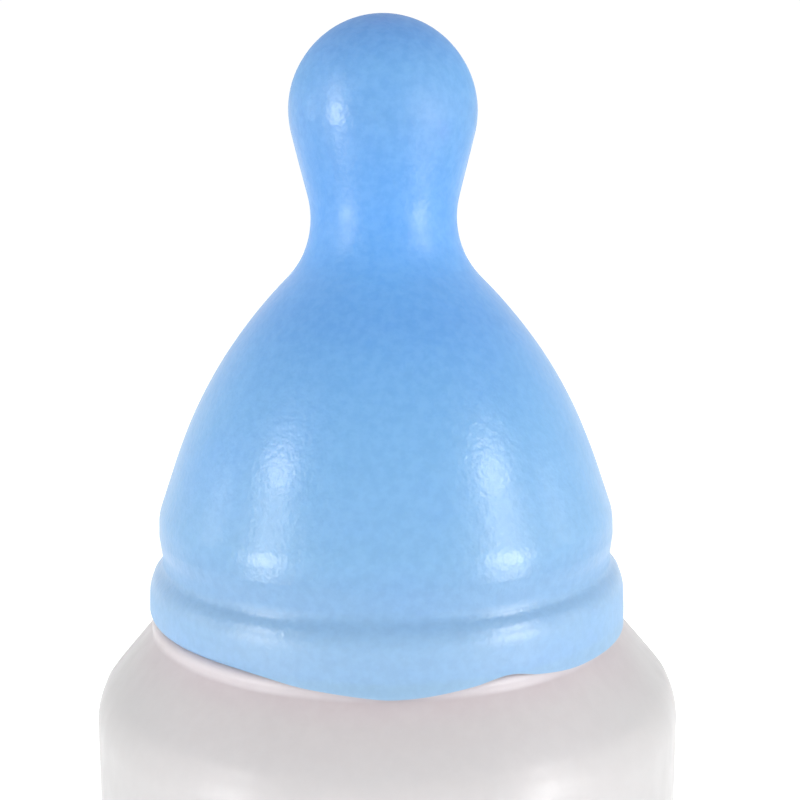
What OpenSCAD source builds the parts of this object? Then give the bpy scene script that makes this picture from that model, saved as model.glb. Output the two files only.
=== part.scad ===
// Calf feeding bottle: a blow-moulded two-litre bottle with a push-on rubber teat.
// Inside the teat a plastic disc carries a ball check valve and an umbrella air vent.
// Millimetres, Z up, origin at the middle of the base.

/* [Bottle] */
// Diameter of the straight body
body_d = 103; // [100:0.5:104]
// Height of the mouth's rim above the floor
rim_h = 282; // [240:1:300]
// Wall of the bottle
bottle_wall = 1.5; // [1.2:0.1:1.8]
// Outer diameter of the neck
neck_d = 73.2; // [72.6:0.1:73.4]
// Height of the rim above the foot of the neck, where the shoulder begins
neck_h = 20; // [19.5:0.1:20.5]
// How far the snap bead stands out from the neck
bead_proud = 0.8; // [0.4:0.1:0.8]
// Rounding between the body and the sloping shoulder
shoulder_round = 5; // [3:0.5:7]
// Diameter of the band round the foot of the neck, as wide as the teat's collar above it
band_d = 83.2; // [82:0.2:84]
// Height of that band, up to the ledge that the collar sits on
band_h = 2.4; // [2.2:0.1:2.6]
// Rounding of the base corner
base_round = 10; // [6:0.5:12]
// Height of the pushed-up middle of the base
push_up = 5; // [4:0.5:7]

/* [Teat] */
// Height of the teat's tip above the bottle's rim
tip_above_rim = 85; // [82:0.1:88]
// Diameter of the ball at the tip
bulb_d = 32; // [31:0.5:33]
// Smallest diameter between the ball and the dome
nape_d = 25; // [24.6:0.1:26]
// Lean of the cone under the ball, in degrees from upright
nape_taper = 14; // [12:1:16]
// Radius of the inward curve between the ball and the dome
nape_round = 14.7; // [14:0.1:15.5]
// Slope where that curve meets the dome, in degrees from upright
dome_flare = 45; // [43:1:46]
// Radius of the dome's long outward curve
dome_round = 85; // [84:0.5:87]
// Outer diameter of the collar
collar_d = 83.8; // [83:0.1:85]
// Diameter at the bottom of the groove above the collar
groove_d = 79; // [78.6:0.1:79.6]
// Height of the groove above the collar's lower edge
groove_h = 10.2; // [9.8:0.1:11]
// Rubber thickness of the dome and the ball
teat_wall = 2.4; // [2.0:0.1:2.6]
// Length of each cut of the cross at the tip
cut_length = 8; // [5:0.5:10]
// Width of the cut
cut_width = 0.3; // [0.2:0.1:0.6]

/* [Valve] */
// Thickness of the valve disc
disc_t = 2.4; // [2.2:0.1:2.6]
// Diameter of the check ball
ball_d = 12; // [11:0.5:12]
// Travel of the check ball off its seat
ball_lift = 4; // [3:0.5:5]
// Diameter of the milk hole under the ball
seat_hole_d = 8; // [7.5:0.1:8]
// Distance of the air vent from the middle of the disc
vent_offset = 22; // [21:0.5:22.5]
// Diameter of the umbrella that closes the air vent
umbrella_d = 12; // [11.5:0.5:12.5]
// How far the umbrella opens
vent_lift = 0.8; // [0.4:0.1:0.8]

/* [Hidden] */
$fn = 96;

ARC_STEP = 5;            // degrees between the points of a rounded outline
TINY_R = 0.5;            // an arc below this radius has fewer points
TINY_STEP = 45;
FIT = 0.1;               // radial clearance of parts that push together
LIP_GAP = 0.05;          // gap left under parts that close against a seat
PAST = 1;                // how far a cutter runs past the surface it cuts

body_r = body_d / 2;
neck_r = neck_d / 2;
foot_z = rim_h - neck_h;
ledge_z = foot_z + band_h;
band_r = band_d / 2;
mouth_r = neck_r - bottle_wall;
bead_r = neck_r + bead_proud;

// Bottle's outline
PUSH_UP_R = 26;          // flat middle of the base
PUSH_UP_SLOPE = 35;      // slope of its side, in degrees
push_up_bend = 8;
foot_bend = 6;
push_up_side = (push_up - (push_up_bend + foot_bend) * (1 - cos(PUSH_UP_SLOPE))) / sin(PUSH_UP_SLOPE);
foot_r = PUSH_UP_R + (push_up_bend + foot_bend) * sin(PUSH_UP_SLOPE) + push_up_side * cos(PUSH_UP_SLOPE);
SHOULDER_SLOPE = 40;     // angle of the shoulder's normal above horizontal
band_round = 1.6;        // rounding of the band's upper edge
crease = 1.2;            // inward rounding between the band and the shoulder
neck_fillet = 1;
crease_x = band_r + crease;
crease_z = foot_z + crease * tan(SHOULDER_SLOPE / 2);
shoulder_bend_x = body_r - shoulder_round;
shoulder_bend_z = crease_z
    - (crease + shoulder_round + (shoulder_bend_x - crease_x) * cos(SHOULDER_SLOPE)) / sin(SHOULDER_SLOPE);
BEAD_BELOW_RIM = 3.5;    // from the rim down to the middle of the bead
BEAD_HALF = 1.6;
RIM_CHAMFER = 0.3;

// Teat's outline, outside
collar_z = ledge_z + 0.2;          // the collar's lower edge, just clear of the ledge
tip_z = rim_h + tip_above_rim;
bulb_r = bulb_d / 2;
bulb_z = tip_z - bulb_r;
nape_x = nape_d / 2 + nape_round;
nape_z = bulb_z - (bulb_r + nape_round - nape_x * cos(nape_taper)) / sin(nape_taper);
dome_x = nape_x - (nape_round + dome_round) * cos(dome_flare);
dome_z = nape_z - (nape_round + dome_round) * sin(dome_flare);
DOME_END = 19;           // slope where the dome's curve turns into a straight flare, in degrees
BROW_H = 18.9;           // from the collar's edge up to the bend under that flare
BROW_LEAN = 2;           // slope of the short wall below the bend, in degrees
brow_round = 9;
brow_top = collar_z + BROW_H;
brow_x = dome_x + (dome_round - brow_round) * cos(DOME_END)
    + (dome_z + dome_round * sin(DOME_END) - brow_top) * tan(DOME_END);
brow_z = brow_top - brow_round * sin(DOME_END);
groove_round = 3;
groove_x = groove_d / 2 + groove_round;
groove_z = collar_z + groove_h;
BRIM_H = 4;              // from the groove's middle up to the brim's
brim_round = 3;
brim_z = groove_z + BRIM_H;
brim_x = brow_x + (brow_round - brim_round) * cos(BROW_LEAN)
    + (brow_z - brim_z + (brow_round - brim_round) * sin(BROW_LEAN)) * tan(BROW_LEAN);
// How far the brim turns back under, so that its arc runs straight into the groove's
brim_undercut = atan2(BRIM_H, groove_x - brim_x)
    - acos((brim_round + groove_round) / norm([BRIM_H, groove_x - brim_x]));
collar_shoulder = 6;
collar_x = collar_d / 2 - collar_shoulder;
// Slope at which the groove's arc runs into the collar's shoulder
groove_flare = acos((groove_x - collar_x) / (groove_round + collar_shoulder));
collar_shoulder_z = groove_z - (groove_round + collar_shoulder) * sin(groove_flare);
collar_corner = 1.4;

// Teat, inside
skirt_r = bead_r + FIT;            // the rubber at its stretched size, clear of the bead
skirt_lead_in = 0.6;
snap_groove_r = skirt_r + 0.4;
snap_groove_half = BEAD_HALF + 0.4;
pocket_r = neck_r + 0.5;           // holds the disc's edge
disc_r = pocket_r - FIT;
disc_z = rim_h;
disc_top = disc_z + disc_t;
rib_z = disc_top + LIP_GAP;        // underside of the rib that keeps the disc in the teat
RIB_H = 1.8;
rib_r = pocket_r - 2.7;
DOME_IN_END = 17;        // slope where the inside of the dome ends above the rib

// Valve seat
LOCATOR_H = 3;           // ring that centres the disc in the mouth
LOCATOR_T = 1.2;
locator_r = mouth_r - 0.3;
hub_r = 9.5;
hub_low = disc_z - 1;
hub_top = disc_z + 4;
ball_r = ball_d / 2;
seat_hole_r = seat_hole_d / 2;
seat_cone_z = disc_z + 1;          // lower end of the 45 degree seat
seat_cone_top_r = seat_hole_r + hub_top - seat_cone_z;
// a ball on a 45 degree cone touches where its slope is 45 degrees
ball_z = seat_cone_z + ball_r / sin(45) - seat_hole_r + LIP_GAP / cos(45);
STIFFENER_W = 1.6;
STIFFENER_H = 1.4;
stiffener_end = rib_r - 1;
STIFFENER_TURNS = [-30, 90, 210];

// Air vent
vent_floor_low = disc_z - 1.8;
vent_floor_t = 2.2;
vent_floor_top = vent_floor_low + vent_floor_t;
vent_roof_low = disc_z + 4;
vent_roof_top = disc_z + 5.4;
vent_r = 7.6;
vent_chamber_r = 6;
duct_r = 0.6;
duct_z = disc_z + disc_t / 2;
VENT_HOLES = 5;
vent_hole_r = 0.7;
vent_hole_ring = 3.9;
stem_r = 1.6;
stem_hole_r = stem_r + 0.15;
umbrella_t = 0.9;
umbrella_top = vent_floor_low - LIP_GAP;
stopper_low = vent_floor_top + vent_lift + LIP_GAP;
stopper_h = 2.2;
stopper_r = 2.6;
teat_vent_r = 0.8;

// Cage
cage_inner_r = ball_r + 0.5;
cage_outer_r = hub_r + 1.5;
stiffener_start = cage_outer_r + 1;
cage_post_r = hub_r - 0.1;
cage_skirt_low = disc_top + LIP_GAP;
cage_floor_low = hub_top + LIP_GAP;
cage_floor_t = 1;
cage_roof_low = ball_z + ball_r + ball_lift + 0.3;
cage_roof_t = 1.6;
cage_slot_w = 6;
cage_roof_hole_r = 3;

// Points on an arc about [x, z], anticlockwise when to > from
function arc(x, z, r, from, to) =
    let (steps = max(1, ceil(abs(to - from) / (r < TINY_R ? TINY_STEP : ARC_STEP))))
    [for (i = [0 : steps]) let (a = from + (to - from) * i / steps) [x + r * cos(a), z + r * sin(a)]];

// The bottle's outside from the base to the foot of the neck, moved inwards by inset
function bottle_outline(inset) = concat(
    [[0, push_up + inset]],
    arc(PUSH_UP_R, push_up - push_up_bend, push_up_bend + inset, 90, 90 - PUSH_UP_SLOPE),
    arc(foot_r, foot_bend, foot_bend - inset, 270 - PUSH_UP_SLOPE, 270),
    arc(body_r - base_round, base_round, base_round - inset, 270, 360),
    arc(shoulder_bend_x, shoulder_bend_z, shoulder_round - inset, 0, SHOULDER_SLOPE),
    arc(crease_x, crease_z, crease + inset, 180 + SHOULDER_SLOPE, 180),
    arc(band_r - band_round, ledge_z - band_round, band_round - inset, 0, 90),
    arc(neck_r + neck_fillet, ledge_z + neck_fillet, neck_fillet + inset, 270, 180));

// The teat's ball, nape and dome, moved inwards by inset, down to the slope end_slope
function dome_outline(inset, end_slope) = concat(
    arc(0, bulb_z, bulb_r - inset, 90, -nape_taper),
    arc(nape_x, nape_z, nape_round + inset, 180 - nape_taper, 180 + dome_flare),
    arc(dome_x, dome_z, dome_round - inset, dome_flare, end_slope));

bead_z = rim_h - BEAD_BELOW_RIM;
NECK_OUTSIDE = [
    [neck_r, bead_z - BEAD_HALF],
    [bead_r, bead_z - BEAD_HALF / 2],
    [bead_r, bead_z + BEAD_HALF / 2],
    [neck_r, bead_z + BEAD_HALF],
    [neck_r, rim_h - RIM_CHAMFER],
    [neck_r - RIM_CHAMFER, rim_h]];

BRIM_AND_COLLAR = concat(
    arc(brow_x, brow_z, brow_round, DOME_END, BROW_LEAN),
    arc(brim_x, brim_z, brim_round, BROW_LEAN, -brim_undercut),
    arc(groove_x, groove_z, groove_round, 180 - brim_undercut, 180 + groove_flare),
    arc(collar_x, collar_shoulder_z, collar_shoulder, groove_flare, 0),
    arc(collar_d / 2 - collar_corner, collar_z + collar_corner, collar_corner, 0, -90));

// From the skirt's lower edge up to the rib above the valve disc
TEAT_INSIDE = [
    [skirt_r + skirt_lead_in, collar_z],
    [skirt_r, collar_z + skirt_lead_in],
    [skirt_r, bead_z - snap_groove_half],
    [snap_groove_r, bead_z - snap_groove_half / 2],
    [snap_groove_r, bead_z + snap_groove_half / 2],
    [skirt_r, bead_z + snap_groove_half],
    [skirt_r, disc_z - LIP_GAP],
    [pocket_r, disc_z - LIP_GAP],
    [pocket_r, rib_z],
    [rib_r, rib_z],
    [rib_r, rib_z + RIB_H]];

function reversed(points) = [for (i = [len(points) - 1 : -1 : 0]) points[i]];

module tube(inner, outer, low, high) {
    translate([0, 0, low])
        difference() {
            cylinder(r = outer, h = high - low);
            translate([0, 0, -PAST]) cylinder(r = inner, h = high - low + 2 * PAST);
        }
}

// A hole along +Y, from the disc's middle area out past the teat's wall
module radial_hole(r, from_y, to_y, z) {
    translate([0, from_y, z]) rotate([-90, 0, 0]) cylinder(r = r, h = to_y - from_y, $fn = 24);
}

module bottle() {
    color([0.86, 0.85, 0.85])
        rotate_extrude()
            polygon(concat(
                bottle_outline(0),
                NECK_OUTSIDE,
                [[mouth_r, rim_h]],
                reversed(bottle_outline(bottle_wall))));
}

module teat() {
    color([0.47, 0.70, 0.93])
        difference() {
            rotate_extrude()
                polygon(concat(
                    dome_outline(0, DOME_END),
                    BRIM_AND_COLLAR,
                    TEAT_INSIDE,
                    reversed(dome_outline(teat_wall, DOME_IN_END))));
            for (turn = [45, 135])
                translate([0, 0, tip_z - teat_wall])
                    rotate([0, 0, turn]) cube([cut_length, cut_width, 4 * teat_wall], center = true);
            radial_hole(teat_vent_r, pocket_r - PAST, collar_d / 2 + PAST, duct_z);
        }
}

module valve_seat() {
    color("white")
        difference() {
            union() {
                translate([0, 0, disc_z]) cylinder(r = disc_r, h = disc_t);
                tube(locator_r - LOCATOR_T, locator_r, disc_z - LOCATOR_H, disc_z + disc_t / 2);
                translate([0, 0, hub_low]) cylinder(r = hub_r, h = hub_top - hub_low);
                translate([0, vent_offset, vent_floor_low])
                    cylinder(r = vent_r, h = vent_roof_top - vent_floor_low);
                for (turn = STIFFENER_TURNS)
                    rotate([0, 0, turn])
                        translate([stiffener_start, -STIFFENER_W / 2, disc_z + disc_t / 2])
                            cube([stiffener_end - stiffener_start, STIFFENER_W, disc_t / 2 + STIFFENER_H]);
            }
            translate([0, 0, hub_low - PAST]) cylinder(r = seat_hole_r, h = hub_top - hub_low + 2 * PAST);
            translate([0, 0, seat_cone_z])
                cylinder(r1 = seat_hole_r, r2 = seat_cone_top_r + PAST, h = hub_top - seat_cone_z + PAST);
            translate([0, vent_offset, vent_floor_top])
                cylinder(r = vent_chamber_r, h = vent_roof_low - vent_floor_top);
            translate([0, vent_offset, vent_floor_low - PAST])
                cylinder(r = stem_hole_r, h = vent_floor_t + 2 * PAST, $fn = 32);
            for (i = [0 : VENT_HOLES - 1])
                translate([0, vent_offset, vent_floor_low - PAST])
                    rotate([0, 0, i * 360 / VENT_HOLES])
                        translate([vent_hole_ring, 0, 0])
                            cylinder(r = vent_hole_r, h = vent_floor_t + 2 * PAST, $fn = 24);
            radial_hole(duct_r, vent_offset + vent_chamber_r - PAST, disc_r + PAST, duct_z);
        }
}

module valve_cage() {
    color("gainsboro")
        difference() {
            union() {
                tube(hub_r + FIT / 2, cage_outer_r, cage_skirt_low, cage_floor_low + cage_floor_t);
                tube(cage_inner_r, cage_outer_r, cage_floor_low, cage_floor_low + cage_floor_t);
                tube(cage_inner_r, cage_post_r, cage_floor_low, cage_roof_low + cage_roof_t / 2);
                tube(cage_roof_hole_r, cage_post_r, cage_roof_low, cage_roof_low + cage_roof_t);
            }
            for (turn = [0, 90])
                rotate([0, 0, turn])
                    translate([-cage_outer_r, -cage_slot_w / 2, cage_floor_low + cage_floor_t])
                        cube([2 * cage_outer_r, cage_slot_w, cage_roof_low - cage_floor_low - cage_floor_t]);
        }
}

module check_ball() {
    color("royalblue") translate([0, 0, ball_z]) sphere(r = ball_r);
}

module vent_umbrella() {
    color("ivory")
        translate([0, vent_offset, 0])
            union() {
                translate([0, 0, umbrella_top - umbrella_t])
                    cylinder(r1 = umbrella_d / 2 - umbrella_t, r2 = umbrella_d / 2, h = umbrella_t);
                translate([0, 0, umbrella_top - umbrella_t / 2])
                    cylinder(r = stem_r, h = stopper_low - umbrella_top + umbrella_t, $fn = 32);
                translate([0, 0, stopper_low])
                    cylinder(r1 = stopper_r, r2 = stem_r / 2, h = stopper_h, $fn = 48);
            }
}

bottle();
teat();
valve_seat();
valve_cage();
check_ball();
vent_umbrella();
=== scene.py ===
"""Calf feeding bottle: the visible pieces, their materials, the studio and the camera.

Lengths are worked out in millimetres; everything handed to Blender is in metres.
Azimuth is measured round the bottle's axis from the front (-Y) towards +X, in degrees.
"""

import math

import bmesh
import bpy
from mathutils import Euler, Matrix, Vector, noise


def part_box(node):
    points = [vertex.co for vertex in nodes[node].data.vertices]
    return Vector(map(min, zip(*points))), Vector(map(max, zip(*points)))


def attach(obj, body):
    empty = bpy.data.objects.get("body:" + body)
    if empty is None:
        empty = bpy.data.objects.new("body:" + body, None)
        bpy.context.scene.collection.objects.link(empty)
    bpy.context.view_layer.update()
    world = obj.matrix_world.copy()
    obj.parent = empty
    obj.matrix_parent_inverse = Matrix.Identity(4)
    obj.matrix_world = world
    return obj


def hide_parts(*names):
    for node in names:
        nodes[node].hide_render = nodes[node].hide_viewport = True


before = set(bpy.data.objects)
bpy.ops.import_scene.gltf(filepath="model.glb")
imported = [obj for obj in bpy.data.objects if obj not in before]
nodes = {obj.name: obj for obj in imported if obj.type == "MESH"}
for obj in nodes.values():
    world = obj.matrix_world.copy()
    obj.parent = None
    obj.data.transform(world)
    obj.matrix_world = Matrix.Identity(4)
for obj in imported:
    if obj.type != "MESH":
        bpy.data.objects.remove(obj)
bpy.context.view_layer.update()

MM = 0.001
teat_low, teat_high = [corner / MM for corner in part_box("teat")]
bottle_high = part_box("bottle")[1] / MM
ball_low, ball_high = [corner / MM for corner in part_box("check_ball")]
umbrella_low, umbrella_high = [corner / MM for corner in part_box("vent_umbrella")]

# ---------------------------------------------------------------- outlines, as in the CAD source
TIP_Z = teat_high.z
COLLAR_Z = teat_low.z
COLLAR_R = teat_high.x
BODY_R = bottle_high.x
RIM_Z = bottle_high.z
NECK_R = 36.6
NECK_H = 20.0
FOOT_Z = RIM_Z - NECK_H
BAND_R = 41.6
BAND_H = 2.4
LEDGE_Z = FOOT_Z + BAND_H
WALL = 1.5
BEAD_PROUD = 0.8
BEAD_Z = RIM_Z - 3.5

STEP = 0.8               # longest distance between outline points on a curve
LONG_STEP = 2.5          # and on a straight
TURN_STEP = 9            # most degrees between them on a tight curve
AROUND = 240             # points round a turned piece
SHARP = 40               # edges sharper than this, in degrees, stay crisp
PARTING = (90, -90)      # azimuths of the moulds' parting lines
SEAM_TURNS = (-0.75, -0.4, -0.15, 0.15, 0.4, 0.75)   # extra points beside a parting line, in degrees


def arc(x, z, r, start, stop):
    """Points on an arc about (x, z), angles in degrees above the radius."""
    turn = math.radians(stop - start)
    count = max(2, math.ceil(abs(turn) * r / STEP), math.ceil(abs(turn) / math.radians(TURN_STEP)))
    return [(x + r * math.cos(math.radians(start) + turn * i / count),
             z + r * math.sin(math.radians(start) + turn * i / count)) for i in range(count + 1)]


def spaced(points, step=LONG_STEP):
    """The same outline with extra points on its long straights."""
    out = [points[0]]
    for (r0, z0), (r1, z1) in zip(points, points[1:]):
        count = math.ceil(math.hypot(r1 - r0, z1 - z0) / step) or 1
        if math.hypot(r1 - r0, z1 - z0) < 1e-4:
            continue
        out += [(r0 + (r1 - r0) * i / count, z0 + (z1 - z0) * i / count) for i in range(1, count + 1)]
    return out


def smooth(low, high, value):
    """0 up to low, 1 from high on, eased between; low may be the larger."""
    t = min(1.0, max(0.0, (value - low) / (high - low)))
    return t * t * (3 - 2 * t)


def bump(value, centre, width):
    """A bell curve, 1 at the centre."""
    return math.exp(-((value - centre) / width) ** 2)


def wrapped(azimuth):
    """The same azimuth from -180 to 180."""
    return (azimuth + 180) % 360 - 180


def turned(name, outline, shape=None, seams=(), around=AROUND):
    """A solid of revolution whose outline starts and ends on the axis.

    shape(index, r, z, azimuth) gives the (r, z) that a point of the outline moves to.
    """
    azimuths = {round(i * 360 / around, 3) for i in range(around)}
    azimuths |= {round((seam + turn) % 360, 3) for seam in seams for turn in SEAM_TURNS}
    azimuths = sorted(azimuths)
    mesh = bmesh.new()
    rings = []
    for index, (r, z) in enumerate(outline):
        if r < 1e-6:
            rings.append([mesh.verts.new((0, 0, z * MM))])
            continue
        ring = []
        for azimuth in azimuths:
            sr, sz = shape(index, r, z, wrapped(azimuth)) if shape else (r, z)
            a = math.radians(azimuth)
            ring.append(mesh.verts.new((sr * math.sin(a) * MM, -sr * math.cos(a) * MM, sz * MM)))
        rings.append(ring)
    for a, b in zip(rings, rings[1:]):
        for i in range(max(len(a), len(b))):
            corners = [a[i % len(a)], a[(i + 1) % len(a)], b[(i + 1) % len(b)], b[i % len(b)]]
            mesh.faces.new(list(dict.fromkeys(corners)))
    return finished(name, mesh)


def finished(name, mesh, sharp=SHARP):
    """Turns a bmesh into a smooth-shaded object with its edges sharper than the limit kept crisp."""
    bmesh.ops.recalc_face_normals(mesh, faces=mesh.faces)
    for face in mesh.faces:
        face.smooth = True
    for edge in mesh.edges:
        edge.smooth = not (edge.is_manifold and edge.calc_face_angle(0) > math.radians(sharp))
    data = bpy.data.meshes.new(name)
    mesh.to_mesh(data)
    mesh.free()
    made = bpy.data.objects.new(name, data)
    bpy.context.scene.collection.objects.link(made)
    return made


def wobble(r, z, azimuth, size, seed):
    """Smooth noise on the surface, about -1 to 1, with features of the given size in mm."""
    a = math.radians(azimuth)
    return noise.noise(Vector((r * math.sin(a), -r * math.cos(a), z)) / size + Vector((seed, 0, 0)))


# ---------------------------------------------------------------- teat
BULB_R = 16.0
NAPE_R = 12.5
NAPE_TAPER = 14.0
NAPE_ROUND = 14.7
DOME_FLARE = 45.0
DOME_ROUND = 85.0
DOME_END = 19.0
TEAT_WALL = 2.4
BROW_H = 18.9            # from the collar's edge up to the bend between the dome and its short upright wall
BROW_ROUND = 9.0
BROW_LEAN = 2.0
BRIM_ROUND = 3.0
BRIM_H = 4.0
GROOVE_R = 39.5
GROOVE_H = 10.2
GROOVE_ROUND = 3.0
SHOULDER = 6.0
COLLAR_CORNER = 1.4
SKIRT_R = NECK_R + BEAD_PROUD + 0.1
POCKET_R = NECK_R + 0.5
RIB_Z = RIM_Z + 2.45
RIB_R = POCKET_R - 2.7
RIB_H = 1.8
SKIRT_CHAMFER = 0.6
BEAD_RELIEF = 0.4        # the skirt's inner groove for the neck's bead
INNER_END = 17           # lean of the dome's inner wall where it meets the rib, in degrees


def sin(degrees):
    return math.sin(math.radians(degrees))


def cos(degrees):
    return math.cos(math.radians(degrees))


bulb_z = TIP_Z - BULB_R
nape_x = NAPE_R + NAPE_ROUND
nape_z = bulb_z - (BULB_R + NAPE_ROUND - nape_x * cos(NAPE_TAPER)) / sin(NAPE_TAPER)
dome_x = nape_x - (NAPE_ROUND + DOME_ROUND) * cos(DOME_FLARE)
dome_z = nape_z - (NAPE_ROUND + DOME_ROUND) * sin(DOME_FLARE)
groove_x = GROOVE_R + GROOVE_ROUND
groove_z = COLLAR_Z + GROOVE_H
brow_top = COLLAR_Z + BROW_H
brow_x = (dome_x + DOME_ROUND * cos(DOME_END) - BROW_ROUND * cos(DOME_END)
          + (dome_z + DOME_ROUND * sin(DOME_END) - brow_top) * sin(DOME_END) / cos(DOME_END))
brow_z = brow_top - BROW_ROUND * sin(DOME_END)
brim_z = groove_z + BRIM_H
brim_x = (brow_x + (BROW_ROUND - BRIM_ROUND) * cos(BROW_LEAN)
          + (brow_z - brim_z + (BROW_ROUND - BRIM_ROUND) * sin(BROW_LEAN)) * sin(BROW_LEAN) / cos(BROW_LEAN))
brim_reach = math.hypot(BRIM_H, groove_x - brim_x)
brim_undercut = math.degrees(math.atan2(BRIM_H, groove_x - brim_x)
                             - math.acos((BRIM_ROUND + GROOVE_ROUND) / brim_reach))
groove_flare = math.degrees(math.acos((groove_x - COLLAR_R + SHOULDER) / (GROOVE_ROUND + SHOULDER)))
shoulder_z = groove_z - (GROOVE_ROUND + SHOULDER) * sin(groove_flare)


def dome(inset, end):
    """The teat's outline from its tip to where the dome leans out by end degrees, or its inner wall."""
    return (arc(0, bulb_z, BULB_R - inset, 90, -NAPE_TAPER)
            + arc(nape_x, nape_z, NAPE_ROUND + inset, 180 - NAPE_TAPER, 180 + DOME_FLARE)
            + arc(dome_x, dome_z, DOME_ROUND - inset, DOME_FLARE, end))


outside = spaced(dome(0, DOME_END)
                 + arc(brow_x, brow_z, BROW_ROUND, DOME_END, BROW_LEAN)
                 + arc(brim_x, brim_z, BRIM_ROUND, BROW_LEAN, -brim_undercut)
                 + arc(groove_x, groove_z, GROOVE_ROUND, 180 - brim_undercut, 180 + groove_flare)
                 + arc(COLLAR_R - SHOULDER, shoulder_z, SHOULDER, groove_flare, 0))
LIP_POINTS = 12
corner = [(COLLAR_R - COLLAR_CORNER * (1 - cos(90 * i / LIP_POINTS)),
           COLLAR_Z + COLLAR_CORNER * (1 - sin(90 * i / LIP_POINTS))) for i in range(1, LIP_POINTS + 1)]
inside = [(SKIRT_R + SKIRT_CHAMFER, COLLAR_Z), (SKIRT_R, COLLAR_Z + SKIRT_CHAMFER),
          (SKIRT_R, BEAD_Z - 2), (SKIRT_R + BEAD_RELIEF, BEAD_Z - 1),
          (SKIRT_R + BEAD_RELIEF, BEAD_Z + 1), (SKIRT_R, BEAD_Z + 2),
          (SKIRT_R, RIM_Z - 0.05), (POCKET_R, RIM_Z - 0.05), (POCKET_R, RIB_Z), (RIB_R, RIB_Z),
          (RIB_R, RIB_Z + RIB_H)] + dome(TEAT_WALL, INNER_END)[::-1]
teat_outline = outside + corner + spaced([corner[-1]] + inside)[1:]

LIP_T = 0.26             # the rubber's thin lip, which hangs over the band at the foot of the bottle's neck
LIP_PROUD = 0.15         # how far it stands out from the collar
LIP_SIDE = 0.6           # the share of the corner's points that go down its outside
LIP_CLEAR = 0.07         # between the lip and the band
SEAM_PROUD = 0.1
SEAM_WIDTH = 0.35        # half the parting line's width, in degrees


def droop(azimuth):
    """How far the lip hangs below the collar's lower edge, in mm; below 0, at the left, there is no lip."""
    side = abs(azimuth)
    if azimuth < 0:
        fall = 2.9 * math.exp(-(side / 27) ** 1.3) - 0.5 + 2.7 * smooth(66, 104, side)
    else:
        fall = ((2.4 * math.exp(-(side / 21.4) ** 2.1)) ** 3 + (2.2 * smooth(18, 48, side)) ** 3) ** (1 / 3)
    return fall * (1 + 0.06 * wobble(40, 0, azimuth, 20, 5.5))


def teat_shape(index, r, z, azimuth):
    if index < len(outside):
        rise = smooth(COLLAR_Z + 1.5, COLLAR_Z + 6, z) * smooth(0, 6, r)
        push = 0.2 * wobble(r, z, azimuth, 26, 3.1) + 0.04 * wobble(r, z, azimuth, 8, 7.7)
        seam = SEAM_PROUD * sum(bump(azimuth, at, SEAM_WIDTH) for at in PARTING)
        seam *= smooth(TIP_Z - 3, TIP_Z - 8, z)
        return r + (push + seam) * rise, z
    if index < len(outside) + LIP_POINTS:
        fall = droop(azimuth)
        lip = smooth(-0.3, 1.2, fall)
        t = (index - len(outside) + 1) / LIP_POINTS
        if t < LIP_SIDE:
            lip_r = COLLAR_R + LIP_PROUD
            lip_z = COLLAR_Z + COLLAR_CORNER - (COLLAR_CORNER + fall) * t / LIP_SIDE
        else:
            lip_r = COLLAR_R + LIP_PROUD - LIP_T
            lip_z = COLLAR_Z - fall * (1 - t) / (1 - LIP_SIDE)
        r, z = r + (lip_r - r) * lip, z + (lip_z - z) * lip
        return (max(r, BAND_R + LIP_CLEAR) if z < LEDGE_Z + 0.1 else r), z
    return r, z


def cut(piece, cutters):
    """Cuts closed boxes and pins out of a piece, with the result kept on its mesh."""
    for cutter in cutters:
        modifier = piece.modifiers.new("cut", "BOOLEAN")
        modifier.object, modifier.operation, modifier.solver = cutter, "DIFFERENCE", "EXACT"
    data = bpy.data.meshes.new_from_object(piece.evaluated_get(bpy.context.evaluated_depsgraph_get()))
    piece.modifiers.clear()
    piece.data = data
    for cutter in cutters:
        bpy.data.objects.remove(cutter)
    mesh = bmesh.new()
    mesh.from_mesh(data)
    for edge in mesh.edges:
        edge.smooth = not (edge.is_manifold and edge.calc_face_angle(0) > math.radians(SHARP))
    mesh.to_mesh(data)
    mesh.free()


def block(size, place, turn):
    """A box to cut with, turned about its own upright axis by turn degrees."""
    mesh = bmesh.new()
    bmesh.ops.create_cube(mesh, size=1, matrix=Matrix.Translation(Vector(place) * MM)
                          @ Matrix.Rotation(math.radians(turn), 4, "Z")
                          @ Matrix.Diagonal(Vector(size) * MM).to_4x4())
    return finished("cutter", mesh)


def pin(r, y0, y1, z):
    """A round pin to cut with, along Y."""
    mesh = bmesh.new()
    bmesh.ops.create_cone(mesh, cap_ends=True, segments=32, radius1=r * MM, radius2=r * MM,
                          depth=(y1 - y0) * MM, matrix=Matrix.Translation(Vector((0, (y0 + y1) / 2, z)) * MM)
                          @ Matrix.Rotation(math.radians(90), 4, "X"))
    return finished("cutter", mesh)


SLIT = (8, 0.3, 4 * TEAT_WALL)           # each slit of the cross-cut at the tip
AIR_HOLE_R = 0.8
AIR_HOLE_Z = RIM_Z + 1.2
teat = turned("teat_rubber", teat_outline, teat_shape, seams=PARTING)
cut(teat, [block(SLIT, (0, 0, TIP_Z - TEAT_WALL), 45),
           block(SLIT, (0, 0, TIP_Z - TEAT_WALL), 135),
           pin(AIR_HOLE_R, POCKET_R - 1, COLLAR_R + 1, AIR_HOLE_Z)])
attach(teat, "teat")
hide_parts("teat")

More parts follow.
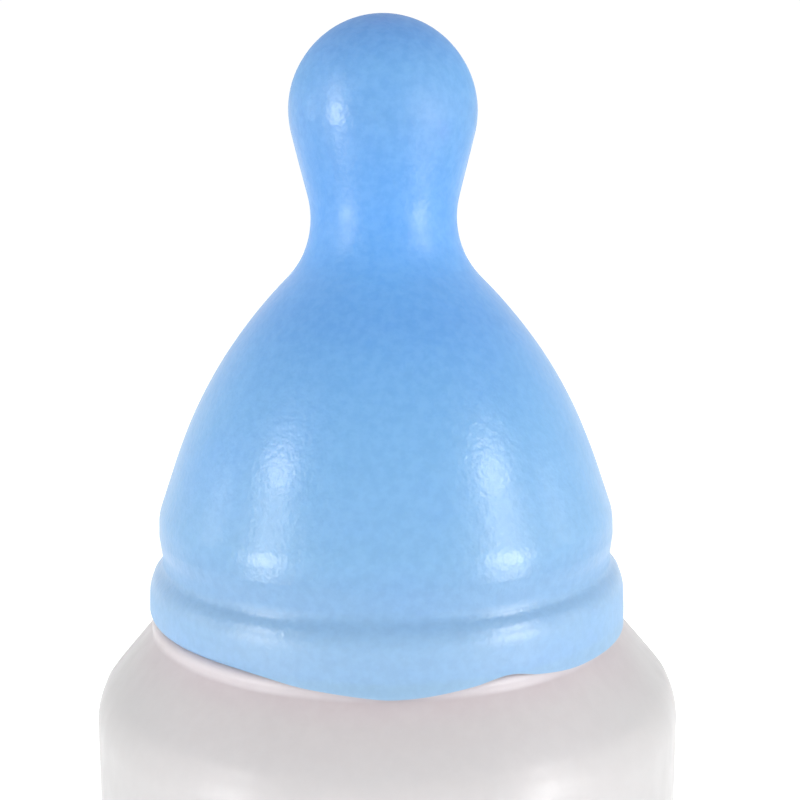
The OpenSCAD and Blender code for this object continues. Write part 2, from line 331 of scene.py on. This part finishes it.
# ---------------------------------------------------------------- bottle
SHOULDER_SLOPE = 40.0
CREASE = 1.2
BAND_ROUND = 1.6
NECK_ROOT = 1.0
RIM_ROUND = 0.5
BODY_ROUND = 11.0        # softer than the CAD's 5 mm: 0.4 mm less plastic at the bend
BASE_ROUND = 10.0
PUSH_UP = 5.0
PUSH_UP_R = 26.0
PUSH_UP_SLOPE = 35.0
PUSH_UP_BEND = 8.0
FOOT_BEND = 6.0
tilt = math.radians(PUSH_UP_SLOPE)
foot_r = (PUSH_UP_R + (PUSH_UP_BEND + FOOT_BEND) * math.sin(tilt)
          + (PUSH_UP - (PUSH_UP_BEND + FOOT_BEND) * (1 - math.cos(tilt))) / math.tan(tilt))
slope = math.radians(SHOULDER_SLOPE)
crease_x = BAND_R + CREASE
crease_z = FOOT_Z + CREASE * math.tan(slope / 2)
bend_x = BODY_R - BODY_ROUND
bend_z = crease_z - (CREASE + BODY_ROUND + (bend_x - crease_x) * math.cos(slope)) / math.sin(slope)


def bottle_side(inset):
    """The bottle's outline from the middle of the base up to the foot of the neck, or the wall inside it."""
    return ([(0, PUSH_UP + inset)]
            + arc(PUSH_UP_R, PUSH_UP - PUSH_UP_BEND, PUSH_UP_BEND + inset, 90, 90 - PUSH_UP_SLOPE)
            + arc(foot_r, FOOT_BEND, FOOT_BEND - inset, 270 - PUSH_UP_SLOPE, 270)
            + arc(BODY_R - BASE_ROUND, BASE_ROUND, BASE_ROUND - inset, 270, 360)
            + arc(bend_x, bend_z, BODY_ROUND - inset, 0, SHOULDER_SLOPE)
            + arc(crease_x, crease_z, CREASE + inset, 180 + SHOULDER_SLOPE, 180)
            + arc(BAND_R - BAND_ROUND, LEDGE_Z - BAND_ROUND, BAND_ROUND - inset, 0, 90)
            + arc(NECK_R + NECK_ROOT, LEDGE_Z + NECK_ROOT, NECK_ROOT + inset, 270, 180))


BEAD_ROUND = 1.3
bead = arc(NECK_R + BEAD_PROUD - BEAD_ROUND, BEAD_Z, BEAD_ROUND, -67, 67)
neck = ([(NECK_R, BEAD_Z - 1.6)] + bead + [(NECK_R, BEAD_Z + 1.6)]
        + arc(NECK_R - RIM_ROUND, RIM_Z - RIM_ROUND, RIM_ROUND, 0, 90)
        + arc(NECK_R - WALL + RIM_ROUND, RIM_Z - RIM_ROUND, RIM_ROUND, 90, 180))
outer_count = len(spaced(bottle_side(0) + neck))
bottle_outline = spaced(bottle_side(0) + neck + bottle_side(WALL)[::-1])


def bottle_shape(index, r, z, azimuth):
    if r > 44 and 12 < z < crease_z - 0.5:
        level = smooth(12, 30, z) * smooth(crease_z - 0.5, crease_z - 7, z)
        r += 0.14 * level * wobble(r, z, azimuth, 34, 11.3)
    if index < outer_count:
        rise = smooth(3, 10, z) * smooth(RIM_Z - 1, RIM_Z - 4, z)
        r += 0.9 * SEAM_PROUD * rise * sum(bump(azimuth, at, SEAM_WIDTH) for at in PARTING)
    return r, z


bottle = turned("bottle_shell", bottle_outline, bottle_shape, seams=PARTING)
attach(bottle, "bottle")
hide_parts("bottle")


def bead_run(mesh, path, half, proud, sink=0.35):
    """A rounded raised line along points (azimuth, z) on the body's wall."""
    places = []
    for azimuth, z in path:
        a = math.radians(azimuth)
        places.append((Vector((math.sin(a), -math.cos(a), 0)), z))
    points = [out * BODY_R + Vector((0, 0, z)) for out, z in places]
    rings = []
    for i, (out, z) in enumerate(places):
        ahead = (points[min(i + 1, len(points) - 1)] - points[max(i - 1, 0)]).normalized()
        side = out.cross(ahead).normalized()
        end = i in (0, len(points) - 1)
        ring = []
        for turn in range(0, 9):
            angle = math.pi * turn / 8
            lift = (proud + sink) * math.sin(angle) * (0.55 if end else 1) - sink
            ring.append(mesh.verts.new((points[i] + side * half * math.cos(angle) * (0.6 if end else 1)
                                        + out * lift) * MM))
        rings.append(ring)
    for a, b in zip(rings, rings[1:]):
        for j in range(len(a)):
            mesh.faces.new((a[j], a[(j + 1) % len(a)], b[(j + 1) % len(b)], b[j]))
    mesh.faces.new(rings[0])
    mesh.faces.new(rings[-1][::-1])


def glyph(character):
    """Strokes of a numeral in a box 1 high and 0.6 wide, each a list of (x, y)."""
    def curve(x, y, rx, ry, start, stop, count=14):
        turns = [start + (stop - start) * i / count for i in range(count + 1)]
        return [(x + rx * cos(turn), y + ry * sin(turn)) for turn in turns]
    return {
        "0": [curve(0.3, 0.5, 0.27, 0.5, 90, 450, 22)],
        "1": [[(0.12, 0.78), (0.24, 0.88), (0.34, 1.0), (0.34, 0.5), (0.34, 0.0)]],
        "5": [[(0.5, 1.0), (0.3, 1.0), (0.1, 1.0), (0.08, 0.78), (0.06, 0.56)]
              + curve(0.27, 0.32, 0.27, 0.32, 115, -140)],
        ".": [[(0.14, 0.0), (0.2, 0.0), (0.26, 0.0)]],
    }[character]


SCALE_AZIMUTH = 32.0     # the middle of the litre scale
LONG_MARK, SHORT_MARK = 22, 9
MARK_HALF, MARK_PROUD = 0.55, 0.32
NUMERAL_X, NUMERAL_H, NUMERAL_HALF = 13.0, 8, 0.5
PER_DEGREE = math.radians(1) * BODY_R
INNER_R = BODY_R - WALL
LITRE = 1e6 / (math.pi * INNER_R ** 2)
FLOOR_Z = 7.5            # height of the level that would hold nothing if the base were flat


def scale_marks():
    """A mark at every tenth of a litre, longer and numbered at every half."""
    mesh = bmesh.new()
    for tenth in range(2, 19):
        z = FLOOR_Z + LITRE * tenth / 10
        width = LONG_MARK if tenth % 5 == 0 else SHORT_MARK
        left = SCALE_AZIMUTH - LONG_MARK / 2 / PER_DEGREE
        count = width // 2
        mark = [(left + width * i / count / PER_DEGREE, z) for i in range(count + 1)]
        bead_run(mesh, mark, MARK_HALF, MARK_PROUD)
        if tenth % 5 == 0:
            x = NUMERAL_X
            for character in f"{tenth / 10:.1f}":
                for stroke in glyph(character):
                    path = [(SCALE_AZIMUTH + (x + NUMERAL_H * u) / PER_DEGREE, z + NUMERAL_H * (v - 0.5))
                            for u, v in stroke]
                    bead_run(mesh, path, NUMERAL_HALF, MARK_PROUD)
                x += 3.2 if character == "." else 6.2
    return finished("scale_marks", mesh, sharp=60)


scale = scale_marks()
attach(scale, "bottle")


WELD_HALF, WELD_SINK, WELD_END = 0.7, 0.3, 6


def pinch_off():
    """The welded line that the mould's halves leave across the pushed-up base."""
    mesh = bmesh.new()
    rings = []
    for i in range(41):
        x = (foot_r - WELD_END) * (i / 20 - 1)
        fade = min(1.0, (foot_r - WELD_END - abs(x)) / 5)
        r = abs(x)
        base = PUSH_UP if r < PUSH_UP_R else (
            PUSH_UP - PUSH_UP_BEND + math.sqrt(max(0, PUSH_UP_BEND ** 2 - (r - PUSH_UP_R) ** 2)))
        ring = []
        for k in range(7):
            y = WELD_HALF * math.cos(math.pi * k / 6)
            z = base + WELD_SINK - (WELD_SINK + 0.5 * fade) * math.sin(math.pi * k / 6)
            ring.append(mesh.verts.new((x * MM, y * MM, z * MM)))
        rings.append(ring)
    for a, b in zip(rings, rings[1:]):
        for j in range(len(a)):
            mesh.faces.new((a[j], a[(j + 1) % len(a)], b[(j + 1) % len(b)], b[j]))
    mesh.faces.new(rings[0])
    mesh.faces.new(rings[-1][::-1])
    return finished("base_weld", mesh, sharp=60)


weld = pinch_off()
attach(weld, "bottle")

# ---------------------------------------------------------------- ball and vent umbrella
ball_r = (ball_high.z - ball_low.z) / 2
ball_z = (ball_high.z + ball_low.z) / 2
ball = turned("ball_smooth", arc(0, ball_z, ball_r, 90, -90), around=96)
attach(ball, "ball")
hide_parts("check_ball")

VENT_Y = (umbrella_low.y + umbrella_high.y) / 2
umbrella_r = (umbrella_high.y - umbrella_low.y) / 2
cap_top = umbrella_low.z + 0.9
stopper_z = umbrella_high.z - 2.2
umbrella_outline = (
    [(0, umbrella_low.z)] + arc(umbrella_r - 0.95, umbrella_low.z + 0.3, 0.3, -90, -45)
    + [(umbrella_r - 0.1, cap_top - 0.12), (umbrella_r, cap_top - 0.04), (umbrella_r - 0.08, cap_top)]
    + [(2.0, cap_top)] + arc(1.6 + 0.2, cap_top + 0.2, 0.2, 270, 180) + [(1.6, stopper_z)]
    + [(2.45, stopper_z)] + arc(2.4, stopper_z + 0.2, 0.2, -70, 45)
    + [(1.1, umbrella_high.z - 0.35)] + arc(0.5, umbrella_high.z - 0.6, 0.6, 40, 90) + [(0, umbrella_high.z)])
umbrella = turned("umbrella_silicone", spaced(umbrella_outline), around=96)
umbrella.data.transform(Matrix.Translation((0, VENT_Y * MM, 0)))
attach(umbrella, "vent")
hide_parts("vent_umbrella")

# ---------------------------------------------------------------- materials


class Nodes:
    """A short way to add nodes to one material."""

    def __init__(self, name):
        self.material = bpy.data.materials.new(name)
        self.material.use_nodes = True
        self.tree = self.material.node_tree
        self.tree.nodes.clear()
        self.shader = self.tree.nodes.new("ShaderNodeBsdfPrincipled")
        output = self.tree.nodes.new("ShaderNodeOutputMaterial")
        self.tree.links.new(self.shader.outputs[0], output.inputs["Surface"])
        self.place = self.tree.nodes.new("ShaderNodeTexCoord").outputs["Object"]

    def add(self, kind, inputs=(), **settings):
        node = self.tree.nodes.new("ShaderNode" + kind)
        for key, value in settings.items():
            setattr(node, key, value)
        for key, value in dict(inputs).items():
            self.set(node.inputs[key], value)
        return node

    def set(self, socket, value):
        if isinstance(value, bpy.types.NodeSocket):
            self.tree.links.new(value, socket)
        else:
            socket.default_value = value

    def math(self, operation, a, b=0.0, c=0.0):
        return self.add("Math", {0: a, 1: b, 2: c}, operation=operation).outputs[0]

    def height(self):
        return self.add("SeparateXYZ", {0: self.place}).outputs[2]

    def map(self, value, low, high, to_low=0.0, to_high=1.0, smoothly=True):
        node = self.add("MapRange", {"Value": value, "From Min": low, "From Max": high,
                                     "To Min": to_low, "To Max": to_high},
                        interpolation_type="SMOOTHSTEP" if smoothly else "LINEAR")
        return node.outputs[0]

    def noise(self, size, detail=2.0, rough=0.5, stretch=(1, 1, 1), offset=(0, 0, 0)):
        """Noise from 0 to 1 with features of about this size in mm, stretched along the object's axes."""
        mapped = self.add("Mapping", {"Vector": self.place, "Location": offset,
                                      "Scale": [1 / (size * MM * s) for s in stretch]}).outputs[0]
        return self.add("TexNoise", {"Vector": mapped, "Scale": 1.0, "Detail": detail,
                                     "Roughness": rough}).outputs[0]

    def ramp(self, factor, stops):
        node = self.add("ValToRGB", {"Fac": factor})
        elements = node.color_ramp.elements
        while len(elements) < len(stops):
            elements.new(0.5)
        for element, (position, colour) in zip(elements, stops):
            element.position = position
            element.color = (*colour, 1)
        return node.outputs[0]

    def mix(self, factor, a, b, blend="MIX"):
        node = self.add("Mix", data_type="RGBA", blend_type=blend)
        self.set(node.inputs["Factor"], factor)
        self.set(node.inputs["A"], a)
        self.set(node.inputs["B"], b)
        return node.outputs["Result"]

    def spot(self, centre, size):
        """1 at a point on the object, fading to 0 at size away, both in mm."""
        away = self.add("VectorMath", {0: self.place, 1: Vector(centre) * MM}, operation="DISTANCE")
        return self.map(away.outputs["Value"], 0.0, size * MM, 1.0, 0.0)

    def relief(self, layers):
        """Chained bumps from (height socket, strength, depth in mm)."""
        normal = None
        for height, strength, depth in layers:
            node = self.add("Bump", {"Height": height, "Strength": strength, "Distance": depth * MM})
            if normal is not None:
                self.set(node.inputs["Normal"], normal)
            normal = node.outputs[0]
        self.set(self.shader.inputs["Normal"], normal)

    def socket(self, name, value):
        self.set(self.shader.inputs[name], value)


def srgb(r, g, b):
    """A display colour from 0 to 255, as linear values."""
    shares = (r / 255, g / 255, b / 255)
    return tuple(c / 12.92 if c <= 0.04045 else ((c + 0.055) / 1.055) ** 2.4 for c in shares)


def rubber():
    """Light blue rubber, paler downwards (painted light from the white bottle), with painted shade in the
    groove and on the tip's crown, and scuffs, smudges and a fine grain.
    """
    m = Nodes("blue_rubber")
    span = (TIP_Z - COLLAR_Z) * MM
    up = m.map(m.height(), COLLAR_Z * MM, COLLAR_Z * MM + span, smoothly=False)
    # Colour up the teat. The paler stops low down are painted light from the white bottle under and inside
    # the rubber; the darker stops at 0.10 to 0.135 are painted shade in the groove under the brim; the darker
    # top stop is painted shade on the crown of the tip.
    colour = m.ramp(up, [
        (0.00, srgb(117, 153, 188)),
        (0.06, srgb(118, 154, 187)),
        (0.10, srgb(107, 147, 185)),
        (0.135, srgb(100, 143, 182)),
        (0.18, srgb(104, 150, 189)),
        (0.35, srgb(95, 148, 194)),
        (0.45, srgb(87, 144, 196)),
        (0.51, srgb(78, 138, 196)),
        (0.57, srgb(82, 144, 204)),
        (0.67, srgb(67, 135, 199)),
        (0.74, srgb(67, 133, 192)),
        (0.83, srgb(78, 134, 185)),
        (0.90, srgb(82, 138, 189)),
        (1.00, srgb(66, 125, 191)),
    ])
    cloud = m.noise(22, detail=3)
    colour = m.mix(m.map(cloud, 0.45, 0.75, 0.0, 0.10), colour, (*srgb(86, 140, 220), 1))
    mottle = m.noise(1.6, detail=3, rough=0.6)
    colour = m.mix(m.map(mottle, 0.3, 0.7, 0.0, 0.10), colour, (*srgb(150, 196, 240), 1))
    # Darker patches: smudges on the bulb and about the teat, and painted shade on the crown of the tip (the
    # spot at the tip's top).
    smudges_and_tip_shade = m.spot((8.6, -13.2, 361), 3.4)
    for place, size in (((9.4, -12.8, 347), 4.0), ((-9.5, -11.5, 361), 3.0), ((0, -6, 366), 6.0),
                        ((-30, -27, 300), 7.0), ((20, 26, 320), 9.0)):
        smudges_and_tip_shade = m.math("MAXIMUM", smudges_and_tip_shade, m.spot(place, size))
    streaks = m.noise(3.2, detail=4, rough=0.65, offset=(5, 2, 0))
    smudges_and_tip_shade = m.math("MULTIPLY", smudges_and_tip_shade, m.map(streaks, 0.35, 0.65, 0.0, 0.30))
    colour = m.mix(smudges_and_tip_shade, colour, (*srgb(84, 120, 190), 1))
    m.socket("Base Color", colour)
    scuff = m.noise(9, detail=4, rough=0.6, offset=(0, 7, 3))
    rough = m.map(scuff, 0.3, 0.75, 0.29, 0.34)
    rough = m.math("MULTIPLY_ADD", m.map(up, 0.84, 0.90), 0.18, rough)
    rough = m.math("MULTIPLY_ADD", m.map(up, 0.065, 0.04), 0.20, rough)
    in_groove = m.math("MULTIPLY", m.map(up, 0.088, 0.095), m.map(up, 0.12, 0.105))
    rough = m.math("MULTIPLY_ADD", in_groove, 0.16, rough)
    at_nape = m.math("MULTIPLY", m.map(up, 0.55, 0.61), m.map(up, 0.74, 0.68))
    rough = m.math("MULTIPLY_ADD", at_nape, 0.09, rough)
    m.socket("Roughness", m.math("MULTIPLY_ADD", m.spot((10.5, -13.5, 351), 16), 0.26, rough))
    m.socket("Specular IOR Level", 0.7)
    m.socket("Subsurface Weight", 0.25)
    m.socket("Subsurface Radius", (0.6, 0.9, 1.4))
    m.socket("Subsurface Scale", 2.5 * MM)
    m.relief([(m.noise(6, detail=1), 0.5, 0.12), (m.noise(0.9, detail=1, rough=0.5), 0.75, 0.08)])
    return m.material


def milky():
    """Milky polyethylene, darker and pinkish under the rubber (painted shadow), lighter on the band at the
    neck's foot (painted light) and greyer towards the sides (painted shade).
    """
    m = Nodes("milky_polyethylene")
    z = m.height()
    cloud = m.noise(30, detail=3)
    # Colour up the body to the band: the darker, pinkish stops just below the band are painted shadow of the
    # rubber's collar, and the lighter stops on the band are painted light.
    colour = m.ramp(m.map(z, 235 * MM, LEDGE_Z * MM, smoothly=False), [
        (0.00, srgb(182, 181, 181)),
        (0.62, srgb(186, 183, 184)),
        (0.80, srgb(182, 177, 178)),
        (0.905, srgb(182, 172, 175)),
        (0.925, srgb(188, 180, 184)),
        (1.00, srgb(190, 183, 187)),
    ])
    # Pinkish grey patches on the band at the left and right of the front: painted shadow of the collar's lip.
    for place in ((-37, -16, 262), (38, -19, 262)):
        colour = m.mix(m.math("MULTIPLY", m.spot(place, 13), 0.9), colour, (*srgb(175, 164, 168), 1))
    colour = m.mix(m.map(cloud, 0.4, 0.7, 0.0, 0.18), colour, (*srgb(175, 173, 174), 1))
    mottle = m.noise(2.4, detail=3, rough=0.6)
    colour = m.mix(m.map(mottle, 0.35, 0.7, 0.0, 0.12), colour, (*srgb(200, 197, 197), 1))
    # Greyer towards the sides, left and right: painted shade.
    painted_side_shade = m.math("ABSOLUTE", m.add("SeparateXYZ", {0: m.place}).outputs[0])
    painted_side_shade = m.map(painted_side_shade, 0.5 * BODY_R * MM, BODY_R * MM, 0.0, 0.8)
    colour = m.mix(painted_side_shade, colour, (*srgb(166, 165, 165), 1))
    m.socket("Base Color", colour)
    scuff = m.noise(7, detail=5, rough=0.65, stretch=(1, 1, 2.5))
    m.socket("Roughness", m.map(scuff, 0.3, 0.75, 0.30, 0.44))
    m.socket("Specular IOR Level", 0.4)
    m.socket("Subsurface Weight", 0.6)
    m.socket("Subsurface Radius", (1.0, 0.9, 0.85))
    m.socket("Subsurface Scale", 4 * MM)
    m.relief([(m.noise(11, detail=2), 0.25, 0.25), (m.noise(0.7, detail=3, rough=0.6), 0.35, 0.03)])
    return m.material


def moulded(name, colour, rough, subsurface=0.15):
    """Plain moulded plastic or silicone with faint clouding, flow marks and grain."""
    m = Nodes(name)
    cloud = m.noise(12, detail=3)
    darker = srgb(*[0.93 * c for c in colour])
    shade = m.mix(m.map(cloud, 0.4, 0.7, 0.0, 0.25), (*srgb(*colour), 1), (*darker, 1))
    flow = m.noise(2.2, detail=4, rough=0.6, stretch=(1, 1, 0.4))
    paler = srgb(*[min(255, 1.05 * c) for c in colour])
    shade = m.mix(m.map(flow, 0.4, 0.7, 0.0, 0.15), shade, (*paler, 1))
    m.socket("Base Color", shade)
    m.socket("Roughness", m.map(m.noise(5, detail=4, rough=0.6), 0.3, 0.7, rough - 0.05, rough + 0.08))
    m.socket("Subsurface Weight", subsurface)
    m.socket("Subsurface Radius", (1.0, 1.0, 0.9))
    m.socket("Subsurface Scale", 1.5 * MM)
    m.relief([(m.noise(0.5, detail=2), 0.3, 0.02)])
    return m.material


def dress(piece, material):
    """Gives a piece one material all over."""
    piece.data.materials.clear()
    piece.data.materials.append(material)
    for polygon in piece.data.polygons:
        polygon.material_index = 0


plastic = milky()
dress(teat, rubber())
for piece in (bottle, scale, weld):
    dress(piece, plastic)
dress(ball, moulded("ball_plastic", (150, 172, 205), 0.22))
dress(umbrella, moulded("silicone", (222, 219, 208), 0.5, subsurface=0.4))
dress(nodes["valve_seat"], moulded("white_polypropylene", (236, 236, 232), 0.34))
dress(nodes["valve_cage"], moulded("grey_polypropylene", (222, 224, 226), 0.34))

# ---------------------------------------------------------------- studio
FLOOR_SIDE = 16.0        # in metres
LIGHTS_AWAY = 900


def floor():
    """A pale floor that glows a little away from the bottle, so that it meets the white sky unseen."""
    mesh = bmesh.new()
    bmesh.ops.create_grid(mesh, x_segments=8, y_segments=8, size=FLOOR_SIDE / 2)
    made = finished("studio_floor", mesh)
    m = Nodes("white_floor")
    m.socket("Base Color", m.mix(m.noise(400), (0.90, 0.90, 0.90, 1), (0.92, 0.92, 0.92, 1)))
    away = m.add("VectorMath", {0: m.place}, operation="LENGTH").outputs["Value"]
    m.socket("Roughness", 0.9)
    m.socket("Emission Color", (1, 1, 1, 1))
    m.socket("Emission Strength", m.map(away, 0.12, 0.45, 0.05, 0.40))
    dress(made, m.material)


def sky():
    """White all round, a little darker overhead."""
    world = bpy.data.worlds.new("studio")
    bpy.context.scene.world = world
    world.use_nodes = True
    tree = world.node_tree
    tree.nodes.clear()
    place = tree.nodes.new("ShaderNodeTexCoord")
    split = tree.nodes.new("ShaderNodeSeparateXYZ")
    level = tree.nodes.new("ShaderNodeMapRange")
    level.inputs["From Min"].default_value = 0.15
    level.inputs["From Max"].default_value = 1.0
    level.inputs["To Min"].default_value = 1.02
    level.inputs["To Max"].default_value = 0.69
    background = tree.nodes.new("ShaderNodeBackground")
    background.inputs["Color"].default_value = (1, 1, 1, 1)
    output = tree.nodes.new("ShaderNodeOutputWorld")
    tree.links.new(place.outputs["Generated"], split.inputs[0])
    tree.links.new(split.outputs[2], level.inputs["Value"])
    tree.links.new(level.outputs[0], background.inputs["Strength"])
    tree.links.new(background.outputs[0], output.inputs["Surface"])


def softbox(name, azimuth, low, high, width, radiance):
    """An upright rectangular light facing the bottle's axis, between two heights above the neck's foot."""
    light = bpy.data.lights.new(name, "AREA")
    light.shape = "RECTANGLE"
    light.size, light.size_y = width * MM, (high - low) * MM
    light.energy = radiance * math.pi * light.size * light.size_y
    made = bpy.data.objects.new(name, light)
    a = math.radians(azimuth)
    middle = FOOT_Z + (low + high) / 2
    made.location = Vector((LIGHTS_AWAY * math.sin(a), -LIGHTS_AWAY * math.cos(a), middle)) * MM
    made.rotation_euler = Euler((math.radians(90), 0, math.radians(azimuth)))
    made.visible_camera = False
    bpy.context.scene.collection.objects.link(made)


floor()
sky()
for side, power in ((-1, 10.5), (1, 13.0)):
    softbox("low_box", side * 58, -160, 215, 230, power)
    softbox("high_box", side * 62, 390, 530, 210, 1.6 * power)
    softbox("side_box", side * 94, 40, 270, 80, 5)
softbox("back_box", 180, -60, 300, 300, 4)

scene = bpy.context.scene
scene.view_settings.view_transform = "Standard"
scene.view_settings.look = "None"

CAMERA_BACK, CAMERA_UP = 230.0, 74.7     # from the axis, and above the foot of the neck
CAMERA_PITCH, CAMERA_PAN, CAMERA_ROLL = -8.79, -0.64, -0.36
camera = bpy.data.cameras.new("camera")
camera.sensor_width = 36
camera.lens = 59.49
camera.clip_start, camera.clip_end = 0.01, 20
viewer = bpy.data.objects.new("camera", camera)
viewer.location = Vector((0, -CAMERA_BACK, FOOT_Z + CAMERA_UP)) * MM
viewer.rotation_euler = (Euler((math.radians(90 + CAMERA_PITCH), 0, math.radians(CAMERA_PAN))).to_matrix()
                         @ Matrix.Rotation(math.radians(CAMERA_ROLL), 3, "Z")).to_euler()
scene.collection.objects.link(viewer)
scene.camera = viewer

bpy.context.view_layer.update()
